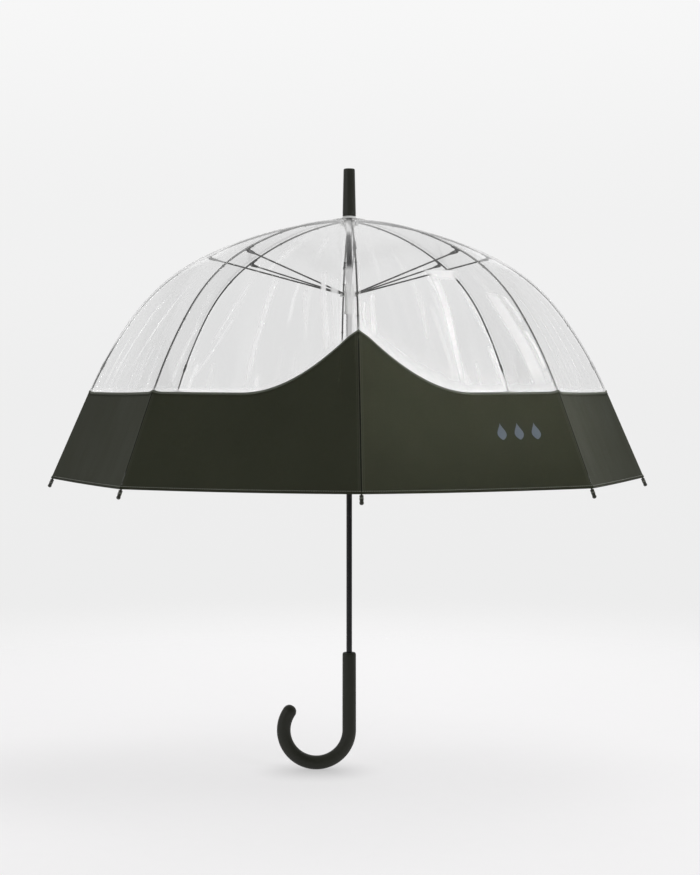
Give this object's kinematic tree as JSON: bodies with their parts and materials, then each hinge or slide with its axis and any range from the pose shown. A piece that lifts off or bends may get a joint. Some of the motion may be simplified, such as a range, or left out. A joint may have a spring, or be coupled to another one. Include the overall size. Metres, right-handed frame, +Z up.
{
  "type": "bubble umbrella",
  "caption": "Dome umbrella with clear film gores over a dark shaped hem band, folding ribs and stretchers, a sliding runner, a tube shaft, a ferrule and a crook handle.",
  "frame": {"origin": "on the shaft's axis, halfway up the straight grip", "axes": "+Z up the shaft towards the ferrule; the crook curls towards -X; the peak of the dark band faces -Y"},
  "size_m": [0.8406, 0.8406, 0.8416],
  "materials": {
    "shaft_enamel": "satin black enamel on steel tube",
    "handle_rubber": "matte soft-touch moulding, dark olive grey",
    "ferrule_plastic": "matte moulding, dark olive grey",
    "pale_plastic": "milky translucent nylon",
    "wire_steel": "drawn wire",
    "snap_metal": "black press stud",
    "rib_enamel": "dark enamel",
    "clear_film": "clear soft film, lightly creased",
    "band_film": "opaque dark olive film, satin"
  },
  "bodies": {
    "root": {"shaft": "shaft_enamel", "crook_handle": "handle_rubber", "ferrule": "ferrule_plastic", "top_notch": "pale_plastic", "notch_wire": "wire_steel", "crown_washer": "pale_plastic"},
    "runner": {"runner": "pale_plastic", "runner_wire": "wire_steel"},
    "top_catch": {"top_spring": "wire_steel"},
    "bottom_catch": {"bottom_spring": "wire_steel"},
    "rib_inner_1": {"rib_inner_1": "rib_enamel"},
    "rib_mid_1": {"rib_mid_1": "rib_enamel", "clear_panel_1": "clear_film"},
    "rib_outer_1": {"rib_outer_1": "rib_enamel", "band_panel_1": "band_film"},
    "stretcher_1": {"stretcher_1": "rib_enamel"},
    "rib_inner_2": {"rib_inner_2": "rib_enamel"},
    "rib_mid_2": {"rib_mid_2": "rib_enamel", "clear_panel_2": "clear_film"},
    "rib_outer_2": {"rib_outer_2": "rib_enamel", "band_panel_2": "band_film"},
    "stretcher_2": {"stretcher_2": "rib_enamel"},
    "rib_inner_3": {"rib_inner_3": "rib_enamel"},
    "rib_mid_3": {"rib_mid_3": "rib_enamel", "clear_panel_3": "clear_film"},
    "rib_outer_3": {"rib_outer_3": "rib_enamel", "band_panel_3": "band_film"},
    "stretcher_3": {"stretcher_3": "rib_enamel"},
    "rib_inner_4": {"rib_inner_4": "rib_enamel"},
    "rib_mid_4": {"rib_mid_4": "rib_enamel", "clear_panel_4": "clear_film"},
    "rib_outer_4": {"rib_outer_4": "rib_enamel", "band_panel_4": "band_film"},
    "stretcher_4": {"stretcher_4": "rib_enamel"},
    "rib_inner_5": {"rib_inner_5": "rib_enamel"},
    "rib_mid_5": {"rib_mid_5": "rib_enamel", "clear_panel_5": "clear_film"},
    "rib_outer_5": {"rib_outer_5": "rib_enamel", "band_panel_5": "band_film", "tie_strap": "band_film", "strap_snap": "snap_metal"},
    "stretcher_5": {"stretcher_5": "rib_enamel"},
    "rib_inner_6": {"rib_inner_6": "rib_enamel"},
    "rib_mid_6": {"rib_mid_6": "rib_enamel", "clear_panel_6": "clear_film"},
    "rib_outer_6": {"rib_outer_6": "rib_enamel", "band_panel_6": "band_film"},
    "stretcher_6": {"stretcher_6": "rib_enamel"},
    "rib_inner_7": {"rib_inner_7": "rib_enamel"},
    "rib_mid_7": {"rib_mid_7": "rib_enamel", "clear_panel_7": "clear_film"},
    "rib_outer_7": {"rib_outer_7": "rib_enamel", "band_panel_7": "band_film"},
    "stretcher_7": {"stretcher_7": "rib_enamel"},
    "rib_inner_8": {"rib_inner_8": "rib_enamel"},
    "rib_mid_8": {"rib_mid_8": "rib_enamel", "clear_panel_8": "clear_film"},
    "rib_outer_8": {"rib_outer_8": "rib_enamel", "band_panel_8": "band_film"},
    "stretcher_8": {"stretcher_8": "rib_enamel"}
  },
  "joints": [
    {"name": "runner_slide", "type": "slide", "parent": "root", "child": "runner", "axis": [0, 0, -1], "range_m": [0, 0.28176], "deforming": ["clear_panel_1", "clear_panel_2", "clear_panel_3", "clear_panel_4", "clear_panel_5", "clear_panel_6", "clear_panel_7", "clear_panel_8", "band_panel_1", "band_panel_2", "band_panel_3", "band_panel_4", "band_panel_5", "band_panel_6", "band_panel_7", "band_panel_8", "tie_strap", "strap_snap", "top_spring", "bottom_spring"]},
    {"name": "rib_fold_1", "type": "hinge", "parent": "root", "child": "rib_inner_1", "pos_m": [0, -0.01, 0.6555], "axis": [1, 0, 0], "range_deg": [0, 71.7]},
    {"name": "rib_flex_upper_1", "type": "hinge", "parent": "rib_inner_1", "child": "rib_mid_1", "pos_m": [0, -0.20342, 0.60758], "axis": [1, 0, 0], "range_deg": [-24.8, 0]},
    {"name": "rib_flex_lower_1", "type": "hinge", "parent": "rib_mid_1", "child": "rib_outer_1", "pos_m": [0, -0.29901, 0.52794], "axis": [1, 0, 0], "range_deg": [-23.77, 0]},
    {"name": "stretcher_pin_1", "type": "hinge", "parent": "rib_inner_1", "child": "stretcher_1", "pos_m": [0, -0.19401, 0.6062], "axis": [1, 0, 0], "range_deg": [-143.4, 0]},
    {"name": "rib_fold_2", "type": "hinge", "parent": "root", "child": "rib_inner_2", "pos_m": [0.00707, -0.00707, 0.6555], "axis": [0.7071, 0.7071, 0], "range_deg": [0, 71.7]},
    {"name": "rib_flex_upper_2", "type": "hinge", "parent": "rib_inner_2", "child": "rib_mid_2", "pos_m": [0.14384, -0.14384, 0.60758], "axis": [0.7071, 0.7071, 0], "range_deg": [-24.8, 0]},
    {"name": "rib_flex_lower_2", "type": "hinge", "parent": "rib_mid_2", "child": "rib_outer_2", "pos_m": [0.21143, -0.21143, 0.52794], "axis": [0.7071, 0.7071, 0], "range_deg": [-23.77, 0]},
    {"name": "stretcher_pin_2", "type": "hinge", "parent": "rib_inner_2", "child": "stretcher_2", "pos_m": [0.13719, -0.13719, 0.6062], "axis": [0.7071, 0.7071, 0], "range_deg": [-143.4, 0]},
    {"name": "rib_fold_3", "type": "hinge", "parent": "root", "child": "rib_inner_3", "pos_m": [0.01, 0, 0.6555], "axis": [0, 1, 0], "range_deg": [0, 71.7]},
    {"name": "rib_flex_upper_3", "type": "hinge", "parent": "rib_inner_3", "child": "rib_mid_3", "pos_m": [0.20342, 0, 0.60758], "axis": [0, 1, 0], "range_deg": [-24.8, 0]},
    {"name": "rib_flex_lower_3", "type": "hinge", "parent": "rib_mid_3", "child": "rib_outer_3", "pos_m": [0.29901, 0, 0.52794], "axis": [0, 1, 0], "range_deg": [-23.77, 0]},
    {"name": "stretcher_pin_3", "type": "hinge", "parent": "rib_inner_3", "child": "stretcher_3", "pos_m": [0.19401, 0, 0.6062], "axis": [0, 1, 0], "range_deg": [-143.4, 0]},
    {"name": "rib_fold_4", "type": "hinge", "parent": "root", "child": "rib_inner_4", "pos_m": [0.00707, 0.00707, 0.6555], "axis": [-0.7071, 0.7071, 0], "range_deg": [0, 71.7]},
    {"name": "rib_flex_upper_4", "type": "hinge", "parent": "rib_inner_4", "child": "rib_mid_4", "pos_m": [0.14384, 0.14384, 0.60758], "axis": [-0.7071, 0.7071, 0], "range_deg": [-24.8, 0]},
    {"name": "rib_flex_lower_4", "type": "hinge", "parent": "rib_mid_4", "child": "rib_outer_4", "pos_m": [0.21143, 0.21143, 0.52794], "axis": [-0.7071, 0.7071, 0], "range_deg": [-23.77, 0]},
    {"name": "stretcher_pin_4", "type": "hinge", "parent": "rib_inner_4", "child": "stretcher_4", "pos_m": [0.13719, 0.13719, 0.6062], "axis": [-0.7071, 0.7071, 0], "range_deg": [-143.4, 0]},
    {"name": "rib_fold_5", "type": "hinge", "parent": "root", "child": "rib_inner_5", "pos_m": [0, 0.01, 0.6555], "axis": [-1, 0, 0], "range_deg": [0, 71.7]},
    {"name": "rib_flex_upper_5", "type": "hinge", "parent": "rib_inner_5", "child": "rib_mid_5", "pos_m": [0, 0.20342, 0.60758], "axis": [-1, 0, 0], "range_deg": [-24.8, 0]},
    {"name": "rib_flex_lower_5", "type": "hinge", "parent": "rib_mid_5", "child": "rib_outer_5", "pos_m": [0, 0.29901, 0.52794], "axis": [-1, 0, 0], "range_deg": [-23.77, 0]},
    {"name": "stretcher_pin_5", "type": "hinge", "parent": "rib_inner_5", "child": "stretcher_5", "pos_m": [0, 0.19401, 0.6062], "axis": [-1, 0, 0], "range_deg": [-143.4, 0]},
    {"name": "rib_fold_6", "type": "hinge", "parent": "root", "child": "rib_inner_6", "pos_m": [-0.00707, 0.00707, 0.6555], "axis": [-0.7071, -0.7071, 0], "range_deg": [0, 71.7]},
    {"name": "rib_flex_upper_6", "type": "hinge", "parent": "rib_inner_6", "child": "rib_mid_6", "pos_m": [-0.14384, 0.14384, 0.60758], "axis": [-0.7071, -0.7071, 0], "range_deg": [-24.8, 0]},
    {"name": "rib_flex_lower_6", "type": "hinge", "parent": "rib_mid_6", "child": "rib_outer_6", "pos_m": [-0.21143, 0.21143, 0.52794], "axis": [-0.7071, -0.7071, 0], "range_deg": [-23.77, 0]},
    {"name": "stretcher_pin_6", "type": "hinge", "parent": "rib_inner_6", "child": "stretcher_6", "pos_m": [-0.13719, 0.13719, 0.6062], "axis": [-0.7071, -0.7071, 0], "range_deg": [-143.4, 0]},
    {"name": "rib_fold_7", "type": "hinge", "parent": "root", "child": "rib_inner_7", "pos_m": [-0.01, 0, 0.6555], "axis": [0, -1, 0], "range_deg": [0, 71.7]},
    {"name": "rib_flex_upper_7", "type": "hinge", "parent": "rib_inner_7", "child": "rib_mid_7", "pos_m": [-0.20342, 0, 0.60758], "axis": [0, -1, 0], "range_deg": [-24.8, 0]},
    {"name": "rib_flex_lower_7", "type": "hinge", "parent": "rib_mid_7", "child": "rib_outer_7", "pos_m": [-0.29901, 0, 0.52794], "axis": [0, -1, 0], "range_deg": [-23.77, 0]},
    {"name": "stretcher_pin_7", "type": "hinge", "parent": "rib_inner_7", "child": "stretcher_7", "pos_m": [-0.19401, 0, 0.6062], "axis": [0, -1, 0], "range_deg": [-143.4, 0]},
    {"name": "rib_fold_8", "type": "hinge", "parent": "root", "child": "rib_inner_8", "pos_m": [-0.00707, -0.00707, 0.6555], "axis": [0.7071, -0.7071, 0], "range_deg": [0, 71.7]},
    {"name": "rib_flex_upper_8", "type": "hinge", "parent": "rib_inner_8", "child": "rib_mid_8", "pos_m": [-0.14384, -0.14384, 0.60758], "axis": [0.7071, -0.7071, 0], "range_deg": [-24.8, 0]},
    {"name": "rib_flex_lower_8", "type": "hinge", "parent": "rib_mid_8", "child": "rib_outer_8", "pos_m": [-0.21143, -0.21143, 0.52794], "axis": [0.7071, -0.7071, 0], "range_deg": [-23.77, 0]},
    {"name": "stretcher_pin_8", "type": "hinge", "parent": "rib_inner_8", "child": "stretcher_8", "pos_m": [-0.13719, -0.13719, 0.6062], "axis": [0.7071, -0.7071, 0], "range_deg": [-143.4, 0]},
    {"name": "top_catch_press", "type": "slide", "parent": "root", "child": "top_catch", "axis": [0, 1, 0], "range_m": [0, 0.0034], "stiffness_N_per_m": 800},
    {"name": "bottom_catch_press", "type": "slide", "parent": "root", "child": "bottom_catch", "axis": [0, -1, 0], "range_m": [0, 0.0034], "stiffness_N_per_m": 800}
  ],
  "couplings": [
    {"joint": "rib_fold_1", "follows": "runner_slide", "rad_per_m": 4.4414},
    {"joint": "rib_flex_upper_1", "follows": "runner_slide", "rad_per_m": -1.5362},
    {"joint": "rib_flex_lower_1", "follows": "runner_slide", "rad_per_m": -1.4726},
    {"joint": "stretcher_pin_1", "follows": "runner_slide", "rad_per_m": -8.8828},
    {"joint": "rib_fold_2", "follows": "runner_slide", "rad_per_m": 4.4414},
    {"joint": "rib_flex_upper_2", "follows": "runner_slide", "rad_per_m": -1.5362},
    {"joint": "rib_flex_lower_2", "follows": "runner_slide", "rad_per_m": -1.4726},
    {"joint": "stretcher_pin_2", "follows": "runner_slide", "rad_per_m": -8.8828},
    {"joint": "rib_fold_3", "follows": "runner_slide", "rad_per_m": 4.4414},
    {"joint": "rib_flex_upper_3", "follows": "runner_slide", "rad_per_m": -1.5362},
    {"joint": "rib_flex_lower_3", "follows": "runner_slide", "rad_per_m": -1.4726},
    {"joint": "stretcher_pin_3", "follows": "runner_slide", "rad_per_m": -8.8828},
    {"joint": "rib_fold_4", "follows": "runner_slide", "rad_per_m": 4.4414},
    {"joint": "rib_flex_upper_4", "follows": "runner_slide", "rad_per_m": -1.5362},
    {"joint": "rib_flex_lower_4", "follows": "runner_slide", "rad_per_m": -1.4726},
    {"joint": "stretcher_pin_4", "follows": "runner_slide", "rad_per_m": -8.8828},
    {"joint": "rib_fold_5", "follows": "runner_slide", "rad_per_m": 4.4414},
    {"joint": "rib_flex_upper_5", "follows": "runner_slide", "rad_per_m": -1.5362},
    {"joint": "rib_flex_lower_5", "follows": "runner_slide", "rad_per_m": -1.4726},
    {"joint": "stretcher_pin_5", "follows": "runner_slide", "rad_per_m": -8.8828},
    {"joint": "rib_fold_6", "follows": "runner_slide", "rad_per_m": 4.4414},
    {"joint": "rib_flex_upper_6", "follows": "runner_slide", "rad_per_m": -1.5362},
    {"joint": "rib_flex_lower_6", "follows": "runner_slide", "rad_per_m": -1.4726},
    {"joint": "stretcher_pin_6", "follows": "runner_slide", "rad_per_m": -8.8828},
    {"joint": "rib_fold_7", "follows": "runner_slide", "rad_per_m": 4.4414},
    {"joint": "rib_flex_upper_7", "follows": "runner_slide", "rad_per_m": -1.5362},
    {"joint": "rib_flex_lower_7", "follows": "runner_slide", "rad_per_m": -1.4726},
    {"joint": "stretcher_pin_7", "follows": "runner_slide", "rad_per_m": -8.8828},
    {"joint": "rib_fold_8", "follows": "runner_slide", "rad_per_m": 4.4414},
    {"joint": "rib_flex_upper_8", "follows": "runner_slide", "rad_per_m": -1.5362},
    {"joint": "rib_flex_lower_8", "follows": "runner_slide", "rad_per_m": -1.4726},
    {"joint": "stretcher_pin_8", "follows": "runner_slide", "rad_per_m": -8.8828}
  ]
}
